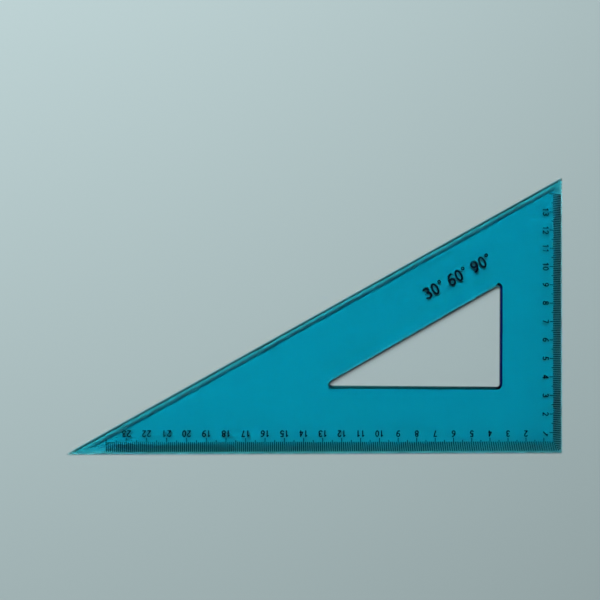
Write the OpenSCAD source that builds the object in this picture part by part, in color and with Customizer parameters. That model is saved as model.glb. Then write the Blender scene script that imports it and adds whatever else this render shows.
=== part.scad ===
// Drafting triangle (30-60-90 degree set square): one clear plastic plate with two printed
// centimetre scales. The right-angle corner lies at the origin on the underside, the long leg
// runs along -X, the short leg along +Y, and the printed face looks up, along +Z.

/* [Plate] */
// Length of the short leg, before its tip is blunted
short_leg = 151; // [120:1:200]
// Angle at the far end of the long leg, in degrees
tip_angle = 30; // [28:1:40]
// Full thickness of the plate
plate_t = 2.2; // [1.8:0.1:3]
// Width of the flat that blunts each of the two pointed tips
tip_flat = 0.3; // [0.2:0.1:2]

/* [Leg bevels] */
// Width of the bevel on the upper face along both legs
bevel_w = 6.2; // [4.5:0.1:8]
// Thickness that the bevel leaves at the leg edges
edge_t = 0.5; // [0.4:0.1:1.4]

/* [Hypotenuse ink edge] */
// Width of the thin flange along the hypotenuse
flange_w = 2.4; // [1.5:0.1:3.5]
// Height of the flange's upper face
flange_t = 1.1; // [0.9:0.1:1.5]
// Run of the slope from the flange up to the full thickness
riser_run = 0.8; // [0.4:0.1:1.6]
// Width of the chamfer under the hypotenuse edge
edge_chamfer_w = 1.3; // [0.3:0.1:1.4]
// Height of that chamfer
edge_chamfer_h = 0.6; // [0.3:0.1:0.8]

/* [Window] */
// Width of the frame between the window and both legs
leg_frame_w = 35.6; // [28:0.1:38]
// Width of the frame between the window and the hypotenuse
hypotenuse_frame_w = 33.8; // [28:0.1:38]
// Radius of the window's corners
window_r = 1.5; // [0.5:0.1:3]
// Width of the chamfer round the window's lower edge
window_chamfer_w = 1.8; // [0.4:0.1:2]
// Height of that chamfer
window_chamfer_h = 1.2; // [0.4:0.1:1.6]

/* [Printed scales] */
// Distance of the printed zero lines from the two leg edges
print_margin = 1.2; // [0.8:0.1:2]
// How far outside the zero line the short scale's lines start
short_line_lead = 0.5; // [0:0.1:0.6]
// Least space between the print and the step along the hypotenuse
print_clear = 0.1; // [0.05:0.05:0.5]
// Spacing of the millimetre lines
mm_pitch = 1; // [0.9:0.05:1.3]
// Width of every scale line
line_w = 0.4; // [0.15:0.05:0.5]
// Thickness of the ink
ink_t = 0.05; // [0.03:0.01:0.1]
// Length of the millimetre lines
mm_len = 5.3; // [3:0.1:5.6]
// Length of the half-centimetre lines
half_len = 6.2; // [5.7:0.1:6.6]
// Length of the centimetre lines
cm_len = 7.3; // [6.7:0.1:9]
// Space between a centimetre line and its numeral
numeral_gap = 0.5; // [0.3:0.1:2]
// Height of the numerals
numeral_h = 3.4; // [2:0.1:4]
// Stroke width of the numerals
numeral_stroke = 0.6; // [0.25:0.05:0.7]

/* [Angle figures] */
// Height of the figures that name the three angles
figure_h = 6.5; // [4:0.5:8]
// Stroke width of those figures
figure_stroke = 1.1; // [0.4:0.1:1.2]
// Space between one angle and the next
figure_gap = 3.5; // [1:0.5:5]
// Radius of the degree ring, at the middle of its stroke
degree_r = 0.7; // [0.4:0.05:0.8]
// Stroke width of the degree ring
degree_stroke = 0.6; // [0.3:0.1:0.7]
// Distance from the hypotenuse to the middle of the row of figures
figure_inset = 19; // [14:0.5:24]
// Distance along the hypotenuse from its upper tip to the middle of the row
figure_from_tip = 80; // [60:1:120]

/* [Hidden] */

top_angle = 90 - tip_angle;
long_leg = short_leg / tan(tip_angle);
hypotenuse = short_leg / sin(tip_angle);
step_w = flange_w + riser_run;
// How far a cutter reaches past the face that it cuts
over = 1;
// How far the window's rounded corners reach past its walls
corner_relief = 0.01;
// Segments to a full turn on the window's corners and on the rounded numerals
corner_fn = 48;
curve_fn = 28;

// Colours of the moulded plastic and of the ink
plastic = [0.0, 0.55, 0.67, 0.8];
ink = [0.03, 0.05, 0.07];

// The three sides in order round the plate: where each starts, its turn from +X, its length
LONG = 0;
SHORT = 1;
HYPOTENUSE = 2;
side_start = [[-long_leg, 0], [0, 0], [0, short_leg]];
side_turn = [0, 90, 180 + tip_angle];
side_length = [long_leg, short_leg, hypotenuse];

// The corners of the triangle that lies one distance in from the legs and another from the hypotenuse
function inset(from_legs, from_hypotenuse) = [
    [-long_leg + (from_hypotenuse + from_legs * cos(tip_angle)) / sin(tip_angle), from_legs],
    [-from_legs, from_legs],
    [-from_legs, short_leg - (from_hypotenuse + from_legs * sin(tip_angle)) / cos(tip_angle)]
];

// Height of the bevelled upper face at a distance from a leg's edge
bevel_slope = (plate_t - edge_t) / bevel_w;
function bevel_z(distance) = edge_t + bevel_slope * distance;
function face_z(distance) = min(plate_t, bevel_z(distance));

// A bar of the given cross-section along +X. The section's x lies along +Y and its y along +Z.
module run(section, length) {
    rotate([90, 0, 90]) linear_extrude(length) polygon(section);
}

// A cutter along one side. The section's x is the distance in from that side.
module cut_side(side, section) {
    translate(side_start[side]) rotate(side_turn[side]) translate([-over, 0, 0])
        run(section, side_length[side] + 2 * over);
}

// The plate's outline, with its two pointed tips blunted
module outline() {
    tip_cut = tip_flat / (2 * sin(tip_angle / 2));
    top_cut = tip_flat / (2 * sin(top_angle / 2));
    polygon([
        [0, 0],
        [0, short_leg - top_cut],
        [-top_cut * sin(top_angle), short_leg - top_cut * cos(top_angle)],
        [-long_leg + tip_cut * cos(tip_angle), tip_cut * sin(tip_angle)],
        [-long_leg + tip_cut, 0]
    ]);
}

// The wedge that leaves the bevel along a leg
function bevel_cut() = [
    [-over, bevel_z(-over)],
    [bevel_w + over, bevel_z(bevel_w + over)],
    [-over, bevel_z(bevel_w + over)]
];

// The step that leaves the thin flange along the hypotenuse and the slope up from it
function ink_edge_cut() =
    let (riser_slope = riser_run / (plate_t - flange_t))
    [
        [-over, flange_t],
        [flange_w, flange_t],
        [step_w + over * riser_slope, plate_t + over],
        [-over, plate_t + over]
    ];

// The wedge under the hypotenuse edge
function edge_chamfer_cut() =
    let (rise = edge_chamfer_h / edge_chamfer_w)
    [
        [-over, edge_chamfer_h + over * rise],
        [-over, -over * rise],
        [edge_chamfer_w + over, -over * rise]
    ];

// Half section of the window: how far in from its wall it reaches, and how far out that wall lies
function window_section(inner, wall) =
    let (flare = window_chamfer_w / window_chamfer_h)
    [
        [inner, -over],
        [wall + window_chamfer_w + over * flare, -over],
        [wall, window_chamfer_h],
        [wall, plate_t + over],
        [inner, plate_t + over]
    ];

// The three-cornered window: a core between the centres of its rounded corners, a bar along each side
// and a round at each corner. The rounds reach a hair past the walls, so that they cross them cleanly.
module window_cut() {
    centres = inset(leg_frame_w + window_r, hypotenuse_frame_w + window_r);
    translate([0, 0, -over]) linear_extrude(plate_t + 2 * over) polygon(centres);
    for (side = [LONG, SHORT, HYPOTENUSE]) {
        from = centres[side];
        to = centres[(side + 1) % 3];
        translate(to) rotate(side_turn[side] + 180)
            run(window_section(-window_r / 2, window_r), norm(to - from));
        translate(to) rotate_extrude($fn = corner_fn)
            polygon(window_section(0, window_r + corner_relief));
    }
}

// The moulded plate: bevelled legs, stepped hypotenuse and a window in the middle
module plate() {
    color(plastic) difference() {
        linear_extrude(plate_t) outline();
        cut_side(LONG, bevel_cut());
        cut_side(SHORT, bevel_cut());
        cut_side(HYPOTENUSE, ink_edge_cut());
        cut_side(HYPOTENUSE, edge_chamfer_cut());
        window_cut();
    }
}

// Millimetres are counted from the zero lines, and the lines' lengths go by the count
function is_mm(count) = count % (PER_CM / 2) != 0;
function is_half_cm(count) = count % PER_CM == PER_CM / 2;
function line_length(count) = is_mm(count) ? mm_len : is_half_cm(count) ? half_len : cm_len;

// How far in from a leg's edge the face is clear, at a distance along a leg whose far tip has this angle
function clear_reach(leg, angle, along) =
    (leg - print_margin - along) * tan(angle) - step_w / cos(angle) - print_clear;

// How far along a leg the face is still clear to this reach
function clear_along(leg, angle, reach) =
    leg - print_margin - (reach + print_clear + step_w / cos(angle)) / tan(angle);

// Where the lines of each scale start, in from the leg's edge
long_start = print_margin;
short_start = print_margin - short_line_lead;

PER_CM = 10;
cm_pitch = PER_CM * mm_pitch;
long_cm = floor(clear_along(long_leg, tip_angle, long_start + mm_len) / cm_pitch);
short_cm = floor(clear_along(short_leg, top_angle, short_start + mm_len) / cm_pitch);

// Cross-section of a printed line between two distances from the edge, over the bevel and onto the face
function line_section(start, end) =
    let (
        knee = end > bevel_w ? [bevel_w] : [],
        stops = concat([start], knee, [end]),
        last = len(stops) - 1
    )
    concat(
        [for (d = stops) [d, face_z(d)]],
        [for (i = [last:-1:0]) [stops[i], face_z(stops[i]) + ink_t]]
    );

// One printed line across the long leg. Near the corner it ends where the other scale's line meets it.
module long_line(count) {
    along = count * mm_pitch;
    meeting = print_margin + along + line_w / 2;
    room = clear_reach(long_leg, tip_angle, along);
    end = min(long_start + line_length(count), meeting, room);
    translate([-print_margin - along - line_w / 2, 0, 0]) run(line_section(long_start, end), line_w);
}

// One printed line across the short leg
module short_line(count) {
    along = count * mm_pitch;
    meeting = print_margin + along - line_w / 2;
    room = clear_reach(short_leg, top_angle, along);
    end = min(short_start + line_length(count), meeting, room);
    rotate(90) translate([print_margin + along - line_w / 2, 0, 0])
        run(line_section(short_start, end), line_w);
}

module long_scale_mm_lines() {
    color(ink) for (count = [1:PER_CM * long_cm]) if (is_mm(count)) long_line(count);
}

module long_scale_half_cm_lines() {
    color(ink) for (count = [1:PER_CM * long_cm]) if (is_half_cm(count)) long_line(count);
}

module long_scale_cm_lines() {
    color(ink) for (cm = [1:long_cm]) long_line(PER_CM * cm);
}

module short_scale_mm_lines() {
    color(ink) for (count = [1:PER_CM * short_cm]) if (is_mm(count)) short_line(count);
}

module short_scale_half_cm_lines() {
    color(ink) for (count = [1:PER_CM * short_cm]) if (is_half_cm(count)) short_line(count);
}

module short_scale_cm_lines() {
    color(ink) for (cm = [1:short_cm]) short_line(PER_CM * cm);
}

// Numerals are drawn in a cell 1 high and DIGIT_ASPECT wide, as strokes along centre lines and as rings.
// A curve turns from one angle to another round a centre.
DIGIT_ASPECT = 0.6;
DIGIT_SPACING = 0.13;
function curve(centre, radii, from, to) =
    let (steps = ceil(abs(to - from) / 360 * curve_fn))
    [for (i = [0:steps]) let (a = from + (to - from) * i / steps)
        centre + [radii[0] * cos(a), radii[1] * sin(a)]];

// The centre lines of each digit's open strokes
function digit_strokes(digit) =
    digit == 1 ? [[[0.36, 0], [0.36, 1]], [[0.14, 0.74], [0.36, 0.93]]] :
    digit == 2 ? [concat(curve([0.3, 0.7], [0.22, 0.225], 170, -35), [[0.1, 0.08]]),
        [[0.04, 0.075], [0.57, 0.075]]] :
    digit == 3 ? [concat(curve([0.28, 0.73], [0.21, 0.195], 160, -90), [[0.19, 0.535]]),
        concat([[0.19, 0.535]], curve([0.28, 0.305], [0.24, 0.23], 90, -160))] :
    digit == 4 ? [[[0.42, 0], [0.42, 1]], [[0.02, 0.28], [0.59, 0.28]], [[0.08, 0.29], [0.41, 0.92]]] :
    digit == 5 ? [[[0.54, 0.925], [0.13, 0.925]], [[0.17, 0.97], [0.13, 0.44]],
        curve([0.28, 0.32], [0.24, 0.245], 145, -155)] :
    digit == 6 ? [curve([0.46, 0.36], [0.385, 0.565], 75, 175)] :
    digit == 7 ? [[[0.03, 0.925], [0.57, 0.925]], [[0.49, 0.93], [0.22, 0.02]]] :
    digit == 9 ? [curve([0.14, 0.64], [0.385, 0.565], 255, 355)] :
    [];

// The centre and radii of each digit's rings
function digit_rings(digit) =
    digit == 0 ? [[[0.3, 0.5], [0.22, 0.425]]] :
    digit == 6 ? [[[0.3, 0.31], [0.225, 0.235]]] :
    digit == 8 ? [[[0.3, 0.74], [0.19, 0.185]], [[0.3, 0.3], [0.225, 0.225]]] :
    digit == 9 ? [[[0.3, 0.69], [0.225, 0.235]]] :
    [];

// A point of a stroke's side: the line's own point, moved out square to the line
function unit(v) = v / norm(v);
function square_to(v) = [-v[1], v[0]];
function beside(line, i, reach) =
    let (
        last = len(line) - 1,
        before = square_to(unit(line[max(i, 1)] - line[max(i, 1) - 1])),
        after = square_to(unit(line[min(i, last - 1) + 1] - line[min(i, last - 1)])),
        middle = unit(before + after)
    )
    line[i] + middle * reach / (middle * before);

module stroke(line, width) {
    last = len(line) - 1;
    polygon(concat(
        [for (i = [0:last]) beside(line, i, width / 2)],
        [for (i = [last:-1:0]) beside(line, i, -width / 2)]
    ));
}

module ring(centre, radii, width) {
    grow = [width, width] / 2;
    difference() {
        polygon(curve(centre, radii + grow, 0, 360 - 360 / curve_fn));
        polygon(curve(centre, radii - grow, 0, 360 - 360 / curve_fn));
    }
}

module digit(value, height, width) {
    for (line = digit_strokes(value)) stroke(line * height, width);
    for (loop = digit_rings(value)) ring(loop[0] * height, loop[1] * height, width);
}

function digits_of(number) = number < 10 ? [number] : concat(digits_of(floor(number / 10)), [number % 10]);
function row_width(count, height) = (count * DIGIT_ASPECT + (count - 1) * DIGIT_SPACING) * height;

// A whole number, centred on the origin
module number(value, height, width) {
    digits = digits_of(value);
    pitch = (DIGIT_ASPECT + DIGIT_SPACING) * height;
    translate([-row_width(len(digits), height) / 2, -height / 2])
        for (i = [0:len(digits) - 1]) translate([i * pitch, 0]) digit(digits[i], height, width);
}

// Both scales are numbered from 2, with their tops towards the leg. Their 1 stands at the corner.
// The numerals lie on the flat face, past the ends of the lines and clear of the bevel.
first_numeral = 2;
function numeral_middle(start) = max(start + cm_len + numeral_gap, bevel_w + print_clear) + numeral_h / 2;
long_middle = numeral_middle(long_start);
short_middle = numeral_middle(short_start);
function last_numeral(leg, angle, middle) =
    let (room = clear_along(leg, angle, middle + numeral_h / 2) - row_width(2, numeral_h) / 2)
    floor(room / cm_pitch);
long_last = last_numeral(long_leg, tip_angle, long_middle);
short_last = last_numeral(short_leg, top_angle, short_middle);

module printed_number(value) {
    translate([0, 0, plate_t]) linear_extrude(ink_t) number(value, numeral_h, numeral_stroke);
}

module long_scale_numerals() {
    color(ink) for (cm = [first_numeral:long_last])
        translate([-print_margin - cm_pitch * cm, long_middle, 0]) rotate(180) printed_number(cm);
}

module short_scale_numerals() {
    color(ink) for (cm = [first_numeral:short_last])
        translate([-short_middle, print_margin + cm_pitch * cm, 0]) rotate(-90) printed_number(cm);
}

// The 1 that both scales share, turned towards the corner
module corner_numeral() {
    color(ink) translate([-short_middle, long_middle, 0]) rotate(-135) printed_number(1);
}

// An angle in two digits, and its degree ring level with their tops, from the left end of the row
pair_w = row_width(2, figure_h);
ring_reach = degree_r + degree_stroke / 2;
figure_w = pair_w + DIGIT_SPACING * figure_h + 2 * ring_reach;
module angle_figure(value) {
    translate([pair_w / 2, 0]) number(value, figure_h, figure_stroke);
    translate([figure_w - ring_reach, figure_h / 2 - ring_reach])
        ring([0, 0], [degree_r, degree_r], degree_stroke);
}

// The plate's three angles, in a row beside the hypotenuse
module angle_figures() {
    angles = [round(tip_angle), round(top_angle), 90];
    pitch = figure_w + figure_gap;
    row_start = -(len(angles) * pitch - figure_gap) / 2;
    color(ink) translate([0, short_leg, plate_t]) rotate(tip_angle)
        translate([-figure_from_tip, -figure_inset, 0])
            for (i = [0:len(angles) - 1])
                translate([row_start + i * pitch, 0, 0]) linear_extrude(ink_t) angle_figure(angles[i]);
}

plate();
long_scale_mm_lines();
long_scale_half_cm_lines();
long_scale_cm_lines();
long_scale_numerals();
short_scale_mm_lines();
short_scale_half_cm_lines();
short_scale_cm_lines();
short_scale_numerals();
corner_numeral();
angle_figures();
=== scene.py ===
import math

import bmesh
import bpy
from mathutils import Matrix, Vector


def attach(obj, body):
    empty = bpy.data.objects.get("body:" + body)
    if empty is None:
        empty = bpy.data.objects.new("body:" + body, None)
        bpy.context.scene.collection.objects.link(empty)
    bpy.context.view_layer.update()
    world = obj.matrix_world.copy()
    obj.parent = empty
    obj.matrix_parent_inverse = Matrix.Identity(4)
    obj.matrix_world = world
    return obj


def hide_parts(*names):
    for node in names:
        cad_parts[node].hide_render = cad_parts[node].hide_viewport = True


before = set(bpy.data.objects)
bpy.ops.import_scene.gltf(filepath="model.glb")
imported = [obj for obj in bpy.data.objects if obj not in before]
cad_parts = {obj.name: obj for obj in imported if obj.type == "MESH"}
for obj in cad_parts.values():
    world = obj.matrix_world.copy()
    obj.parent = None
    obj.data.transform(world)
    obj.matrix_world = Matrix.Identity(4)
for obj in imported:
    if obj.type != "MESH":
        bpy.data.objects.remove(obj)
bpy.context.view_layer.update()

# The plate is one injection moulding of clear cyan plastic, polished on both faces. The mould leaves its
# edges a little round, and use leaves hairline scratches and thin smears of skin oil on its faces.
MM = 0.001
EDGE_ROUND = 0.15 * MM
EDGE_SEGMENTS = 2
ROUND_ABOVE = math.radians(20)
FLAT_WITHIN = math.radians(0.4)
SAME_POINT = 0.001 * MM
WHITE = (1, 1, 1, 1)
PLASTIC_IOR = 1.5
POLISHED_ROUGHNESS = 0.02
WORN_ROUGHNESS = 0.05
# How much light a metre of the plastic takes off, and the share of that which each colour is spared
ABSORPTION = 1300
SPARED = (0.0, 0.917, 0.975, 1)
# Hairline scratches follow the lines where a stretched noise crosses its middle value
NOISE_MIDDLE = 0.5
SCRATCH_TURNS = [math.radians(turn) for turn in (18, 64, 117, 152)]
SCRATCH_LENGTH = 26 * MM
SCRATCH_SPACING = 3.2 * MM
SCRATCH_BENDS = 1
SCRATCH_SHARPNESS = 0.012
SCRATCH_DEPTH = 0.003 * MM
# Smears lie where a swirled noise is high
SMEAR_SIZE = 24 * MM
SMEAR_DETAIL = 4
SMEAR_SWIRL = 1.2
SMEAR_FROM = 0.48
SMEAR_FULL = 0.72


def moulded_copy(node, name):
    """A copy of a node with its triangles joined into flat faces and its edges rounded."""
    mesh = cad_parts[node].data.copy()
    work = bmesh.new()
    work.from_mesh(mesh)
    bmesh.ops.remove_doubles(work, verts=work.verts, dist=SAME_POINT)
    bmesh.ops.dissolve_limit(work, angle_limit=FLAT_WITHIN, verts=work.verts, edges=work.edges)
    work.to_mesh(mesh)
    work.free()
    piece = bpy.data.objects.new(name, mesh)
    bpy.context.scene.collection.objects.link(piece)
    rounding = piece.modifiers.new("edge round", "BEVEL")
    rounding.width = EDGE_ROUND
    rounding.segments = EDGE_SEGMENTS
    rounding.limit_method = "ANGLE"
    rounding.angle_limit = ROUND_ABOVE
    rounding.harden_normals = True
    evaluated = piece.evaluated_get(bpy.context.evaluated_depsgraph_get())
    finished = bpy.data.meshes.new_from_object(evaluated)
    piece.modifiers.clear()
    piece.data = finished
    return piece


def scratches_along(turn, group, place):
    """The mask of the scratches that run one way, as an output in the node group."""
    nodes, links = group.nodes, group.links
    stretch = nodes.new("ShaderNodeMapping")
    stretch.inputs["Rotation"].default_value = (0, 0, turn)
    stretch.inputs["Scale"].default_value = (1 / SCRATCH_LENGTH, 1 / SCRATCH_SPACING, 0)
    noise = nodes.new("ShaderNodeTexNoise")
    noise.inputs["Scale"].default_value = 1
    noise.inputs["Detail"].default_value = SCRATCH_BENDS
    off_line = nodes.new("ShaderNodeMath")
    off_line.operation = "SUBTRACT"
    off_line.inputs[1].default_value = NOISE_MIDDLE
    distance = nodes.new("ShaderNodeMath")
    distance.operation = "ABSOLUTE"
    stroke = nodes.new("ShaderNodeMapRange")
    stroke.inputs["From Max"].default_value = SCRATCH_SHARPNESS
    stroke.inputs["To Min"].default_value = 1
    stroke.inputs["To Max"].default_value = 0
    links.new(place, stretch.inputs["Vector"])
    links.new(stretch.outputs["Vector"], noise.inputs["Vector"])
    links.new(noise.outputs["Fac"], off_line.inputs[0])
    links.new(off_line.outputs["Value"], distance.inputs[0])
    links.new(distance.outputs["Value"], stroke.inputs["Value"])
    return stroke.outputs["Result"]


def traces_of_use():
    """A node group: masks of the hairline scratches and of the smears at a place on a surface."""
    group = bpy.data.node_groups.new("traces_of_use", "ShaderNodeTree")
    group.interface.new_socket("Place", in_out="INPUT", socket_type="NodeSocketVector")
    group.interface.new_socket("Scratches", in_out="OUTPUT", socket_type="NodeSocketFloat")
    group.interface.new_socket("Smears", in_out="OUTPUT", socket_type="NodeSocketFloat")
    nodes, links = group.nodes, group.links
    place = nodes.new("NodeGroupInput").outputs["Place"]
    result = nodes.new("NodeGroupOutput")
    scratches, *other_ways = [scratches_along(turn, group, place) for turn in SCRATCH_TURNS]
    for more in other_ways:
        both = nodes.new("ShaderNodeMath")
        both.operation = "MAXIMUM"
        links.new(scratches, both.inputs[0])
        links.new(more, both.inputs[1])
        scratches = both.outputs["Value"]
    patches = nodes.new("ShaderNodeTexNoise")
    patches.inputs["Scale"].default_value = 1 / SMEAR_SIZE
    patches.inputs["Detail"].default_value = SMEAR_DETAIL
    patches.inputs["Distortion"].default_value = SMEAR_SWIRL
    smears = nodes.new("ShaderNodeMapRange")
    smears.inputs["From Min"].default_value = SMEAR_FROM
    smears.inputs["From Max"].default_value = SMEAR_FULL
    links.new(place, patches.inputs["Vector"])
    links.new(patches.outputs["Fac"], smears.inputs["Value"])
    links.new(scratches, result.inputs["Scratches"])
    links.new(smears.outputs["Result"], result.inputs["Smears"])
    return group


def clear_plastic(name, traces):
    """Clear plastic that takes its colour from its depth, scratched and smeared by use."""
    material = bpy.data.materials.new(name)
    material.use_nodes = True
    nodes, links = material.node_tree.nodes, material.node_tree.links
    plastic = nodes["Principled BSDF"]
    plastic.inputs["Base Color"].default_value = WHITE
    plastic.inputs["Transmission Weight"].default_value = 1
    plastic.inputs["IOR"].default_value = PLASTIC_IOR
    tint = nodes.new("ShaderNodeVolumeAbsorption")
    tint.inputs["Color"].default_value = SPARED
    tint.inputs["Density"].default_value = ABSORPTION
    place = nodes.new("ShaderNodeTexCoord")
    use = nodes.new("ShaderNodeGroup")
    use.node_tree = traces
    dulled = nodes.new("ShaderNodeMapRange")
    dulled.inputs["To Min"].default_value = POLISHED_ROUGHNESS
    dulled.inputs["To Max"].default_value = WORN_ROUGHNESS
    grooves = nodes.new("ShaderNodeBump")
    grooves.invert = True
    grooves.inputs["Distance"].default_value = SCRATCH_DEPTH
    links.new(tint.outputs["Volume"], nodes["Material Output"].inputs["Volume"])
    links.new(place.outputs["Object"], use.inputs["Place"])
    links.new(use.outputs["Smears"], dulled.inputs["Value"])
    links.new(dulled.outputs["Result"], plastic.inputs["Roughness"])
    links.new(use.outputs["Scratches"], grooves.inputs["Height"])
    links.new(grooves.outputs["Normal"], plastic.inputs["Normal"])
    return material


plate_traces = traces_of_use()
plate = moulded_copy("plate", "moulded_plate")
plate.data.materials.clear()
plate.data.materials.append(clear_plastic("cyan_clear_plastic", plate_traces))
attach(plate, "root")
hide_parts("plate")

# The scales, numerals and angle figures are one pass of matt black ink, printed on the upper face. The ink
# lies a little unevenly, and the strokes that scratch the plate show it thinner.
INK_BLACK = (0.0005, 0.002, 0.007, 1)
INK_WORN = (0.002, 0.008, 0.018, 1)
INK_GRAIN = 0.6 * MM
INK_UNEVENNESS = 0.5
INK_SHEEN = 0.05
INK_SMOOTHEST = 0.45
INK_ROUGHEST = 0.75
PRINT_NODES = [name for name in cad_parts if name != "plate"]


def printing_ink(name, traces):
    """Matt black ink, thinner in its grain and where the plate is scratched."""
    material = bpy.data.materials.new(name)
    material.use_nodes = True
    nodes, links = material.node_tree.nodes, material.node_tree.links
    ink = nodes["Principled BSDF"]
    ink.inputs["Specular IOR Level"].default_value = INK_SHEEN
    place = nodes.new("ShaderNodeTexCoord")
    use = nodes.new("ShaderNodeGroup")
    use.node_tree = traces
    grain = nodes.new("ShaderNodeTexNoise")
    grain.inputs["Scale"].default_value = 1 / INK_GRAIN
    worn = nodes.new("ShaderNodeMath")
    worn.operation = "MULTIPLY_ADD"
    worn.inputs[1].default_value = INK_UNEVENNESS
    colour = nodes.new("ShaderNodeMix")
    colour.data_type = "RGBA"
    colour.inputs["A"].default_value = INK_BLACK
    colour.inputs["B"].default_value = INK_WORN
    dulled = nodes.new("ShaderNodeMapRange")
    dulled.inputs["To Min"].default_value = INK_SMOOTHEST
    dulled.inputs["To Max"].default_value = INK_ROUGHEST
    links.new(place.outputs["Object"], use.inputs["Place"])
    links.new(place.outputs["Object"], grain.inputs["Vector"])
    links.new(grain.outputs["Fac"], worn.inputs[0])
    links.new(use.outputs["Scratches"], worn.inputs[2])
    links.new(worn.outputs["Value"], colour.inputs["Factor"])
    links.new(colour.outputs["Result"], ink.inputs["Base Color"])
    links.new(grain.outputs["Fac"], dulled.inputs["Value"])
    links.new(dulled.outputs["Result"], ink.inputs["Roughness"])
    return material


black_ink = printing_ink("black_ink", plate_traces)
for name in PRINT_NODES:
    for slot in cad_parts[name].material_slots:
        slot.material = black_ink

# The table top is a flat sheet painted a matt pale blue-grey. It lies a hair under the
# plate, so that the two faces never share a plane.
TABLE_SIZE = 4.0
TABLE_GAP = 0.05 * MM
TABLE_COLOUR = (0.455, 0.575, 0.585, 1)
TABLE_ROUGHNESS = 0.9
TABLE_SHEEN = 0.1

table_mesh = bpy.data.meshes.new("table_top")
half = TABLE_SIZE / 2
corners = [(-half, -half), (half, -half), (half, half), (-half, half)]
table_mesh.from_pydata([(x, y, -TABLE_GAP) for x, y in corners], [], [(0, 1, 2, 3)])
table = bpy.data.objects.new("table_top", table_mesh)
bpy.context.scene.collection.objects.link(table)
pale_table = bpy.data.materials.new("pale_table")
pale_table.use_nodes = True
paint = pale_table.node_tree.nodes["Principled BSDF"]
paint.inputs["Base Color"].default_value = TABLE_COLOUR
paint.inputs["Roughness"].default_value = TABLE_ROUGHNESS
paint.inputs["Specular IOR Level"].default_value = TABLE_SHEEN
table_mesh.materials.append(pale_table)

# The surround is a room with pale walls and a dim ceiling, which the polished plate reflects. Its light fades
# from the walls to the ceiling between two heights of the direction that is looked in.
WALL_LIGHT = 0.2
CEILING_LIGHT = 0.015
WALL_HEIGHT = 0.25
CEILING_HEIGHT = 0.75

surround = bpy.data.worlds.new("surround")
bpy.context.scene.world = surround
surround.use_nodes = True
room = surround.node_tree
background = room.nodes["Background"]
background.inputs["Color"].default_value = WHITE
direction = room.nodes.new("ShaderNodeTexCoord")
height = room.nodes.new("ShaderNodeSeparateXYZ")
fade = room.nodes.new("ShaderNodeMapRange")
fade.inputs["From Min"].default_value = WALL_HEIGHT
fade.inputs["From Max"].default_value = CEILING_HEIGHT
fade.inputs["To Min"].default_value = WALL_LIGHT
fade.inputs["To Max"].default_value = CEILING_LIGHT
room.links.new(direction.outputs["Generated"], height.inputs["Vector"])
room.links.new(height.outputs["Z"], fade.inputs["Value"])
room.links.new(fade.outputs["Result"], background.inputs["Strength"])

# The lamp is one square soft box, up and to the left of the plate, turned towards its middle. Glossy blur is
# off, so that the light that comes through the plate stays sharp.
LAMP_SIZE = 0.72
LAMP_POWER = 17.8
LAMP_PLACE = Vector((-0.577, 0.776, 0.922))
LAMP_AIM = Vector((-0.13, 0.06, 0.0))

lamp_data = bpy.data.lights.new("soft_lamp", "AREA")
lamp_data.size = LAMP_SIZE
lamp_data.energy = LAMP_POWER
lamp = bpy.data.objects.new("soft_lamp", lamp_data)
lamp.location = LAMP_PLACE
lamp.rotation_euler = (LAMP_AIM - LAMP_PLACE).to_track_quat("-Z", "Y").to_euler()
bpy.context.scene.collection.objects.link(lamp)
bpy.context.scene.cycles.blur_glossy = 0

# The camera looks almost straight down on the plate, from a little left of its middle. Its lens and sensor
# are in millimetres, and its turns in degrees.
LENS = 30.0
SENSOR = 36.0
NEAREST = 10 * MM
CAMERA_PLACE = Vector((-164.2, 71.3, 263.3)) * MM
CAMERA_TURN = (1.86, -4.38, 1.00)

camera_data = bpy.data.cameras.new("camera")
camera_data.lens = LENS
camera_data.sensor_width = SENSOR
camera_data.clip_start = NEAREST
camera = bpy.data.objects.new("camera", camera_data)
camera.location = CAMERA_PLACE
camera.rotation_euler = [math.radians(angle) for angle in CAMERA_TURN]
bpy.context.scene.collection.objects.link(camera)
bpy.context.scene.camera = camera
bpy.context.scene.view_settings.view_transform = "Standard"
